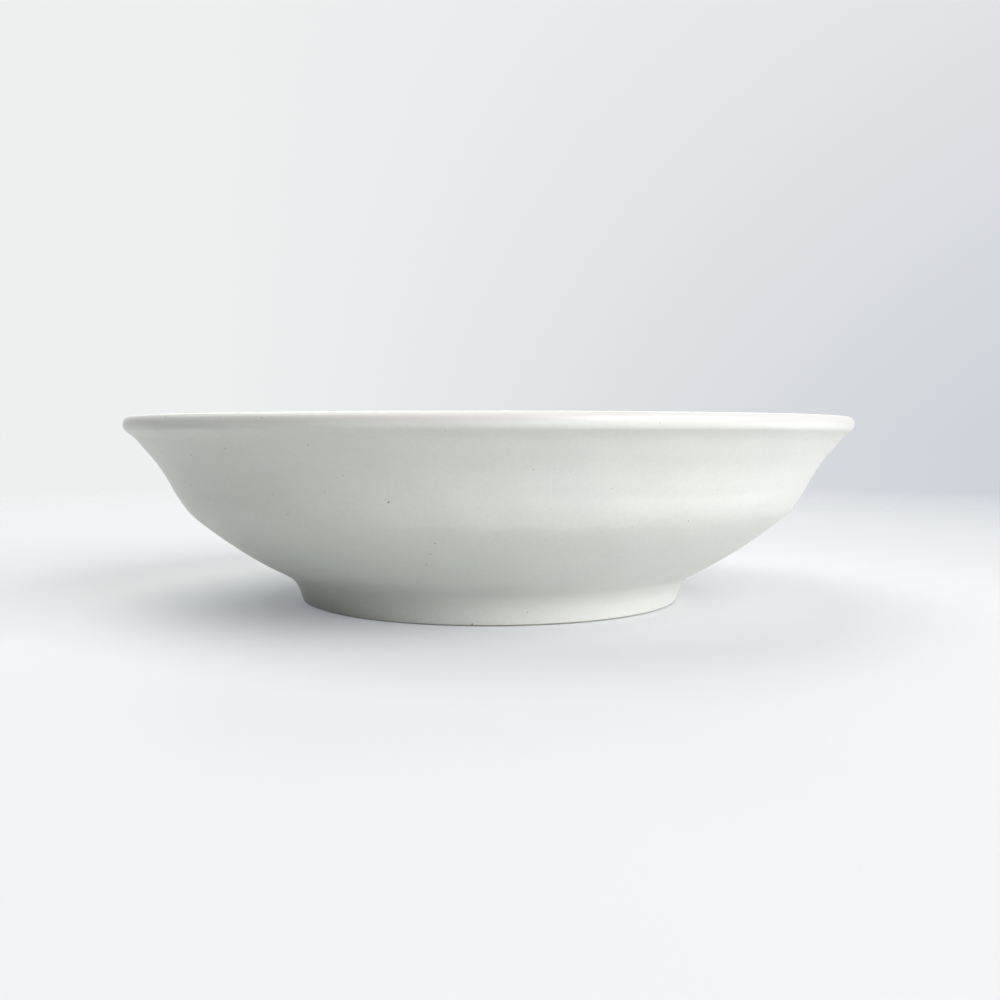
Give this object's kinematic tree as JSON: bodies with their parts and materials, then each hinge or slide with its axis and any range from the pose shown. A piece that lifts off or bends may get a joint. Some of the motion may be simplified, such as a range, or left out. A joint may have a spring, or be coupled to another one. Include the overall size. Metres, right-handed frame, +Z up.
{
  "type": "soy sauce dish",
  "caption": "Small round dish of white glazed ceramic for soy sauce, with a shallow well, a flared and rounded lip, a soft knuckle in the wall and a raised foot ring.",
  "frame": {"origin": "centre of the foot ring's lower face, on the table", "axes": "+Z up along the axis that the dish is turned about; X and Y are alike, and -Y faces the picture's camera"},
  "size_m": [0.096, 0.096, 0.0245],
  "materials": {
    "clay": "fired, bare and slightly rough where it is not glazed",
    "slip": "fired slip, hidden in the joint",
    "white_glaze": "white satin gloss glaze with faint turning rings and a few pin specks"
  },
  "bodies": {
    "root": {"bowl_body": "clay", "foot_ring": "clay", "luting_slip": "slip", "inner_glaze": "white_glaze", "outer_glaze": "white_glaze", "recess_glaze": "white_glaze"}
  },
  "joints": []
}
